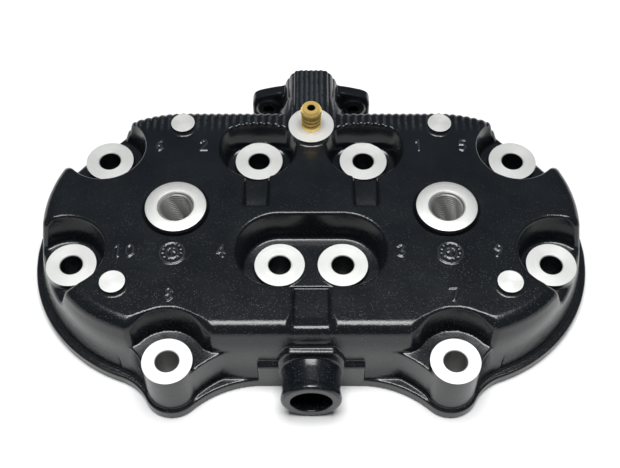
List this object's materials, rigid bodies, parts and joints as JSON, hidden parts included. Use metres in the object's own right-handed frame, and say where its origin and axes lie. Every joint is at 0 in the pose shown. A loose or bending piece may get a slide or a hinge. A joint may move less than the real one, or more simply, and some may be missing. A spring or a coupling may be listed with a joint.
{
  "type": "cylinder head",
  "caption": "Cast water-jacket head for a twin two-stroke: screw-in spark plug domes, front hose tube, bleed nipple and a rear thermostat.",
  "frame": {"origin": "on the deck plane, midway between the two cylinder axes", "axes": "+X along the crankshaft to the right, +Y to the thermostat side, +Z away from the cylinders"},
  "size_m": [0.236, 0.1603, 0.0507],
  "materials": {
    "black_coating": "semi-gloss black coating over a cast surface",
    "machined_aluminium": "turned bare aluminium",
    "brass": "turned brass",
    "rubber": "moulded black rubber",
    "stamped_steel": "pressed stainless sheet",
    "spring_steel": "drawn steel wire and ground pin"
  },
  "bodies": {
    "head": {"head_casting": "black_coating", "left_dome": "machined_aluminium", "right_dome": "machined_aluminium", "left_neck_oring": "rubber", "left_bore_oring": "rubber", "right_neck_oring": "rubber", "right_bore_oring": "rubber", "deck_seal": "rubber", "left_back_outer_bolt_oring": "rubber", "left_back_inner_bolt_oring": "rubber", "left_side_outer_bolt_oring": "rubber", "left_side_inner_bolt_oring": "rubber", "right_back_outer_bolt_oring": "rubber", "right_back_inner_bolt_oring": "rubber", "right_side_outer_bolt_oring": "rubber", "right_side_inner_bolt_oring": "rubber", "bleed_nipple": "brass", "thermostat_plate": "stamped_steel", "thermostat_bridge": "stamped_steel", "thermostat_cage": "stamped_steel", "thermostat_piston": "spring_steel", "thermostat_spring": "spring_steel", "thermostat_seal": "rubber"},
    "valve": {"thermostat_valve": "stamped_steel", "thermostat_capsule": "brass"},
    "jiggle_pin": {"thermostat_jiggle_pin": "brass"}
  },
  "joints": [
    {"name": "valve_lift", "type": "slide", "parent": "head", "child": "valve", "axis": [0, -1, 0], "range_m": [0, 0.007], "stiffness_N_per_m": 1500, "springref_m": -0.01, "deforming": ["thermostat_spring"]},
    {"name": "jiggle_pin_slide", "type": "slide", "parent": "head", "child": "jiggle_pin", "axis": [0, 1, 0], "range_m": [0, 0.0013]}
  ]
}
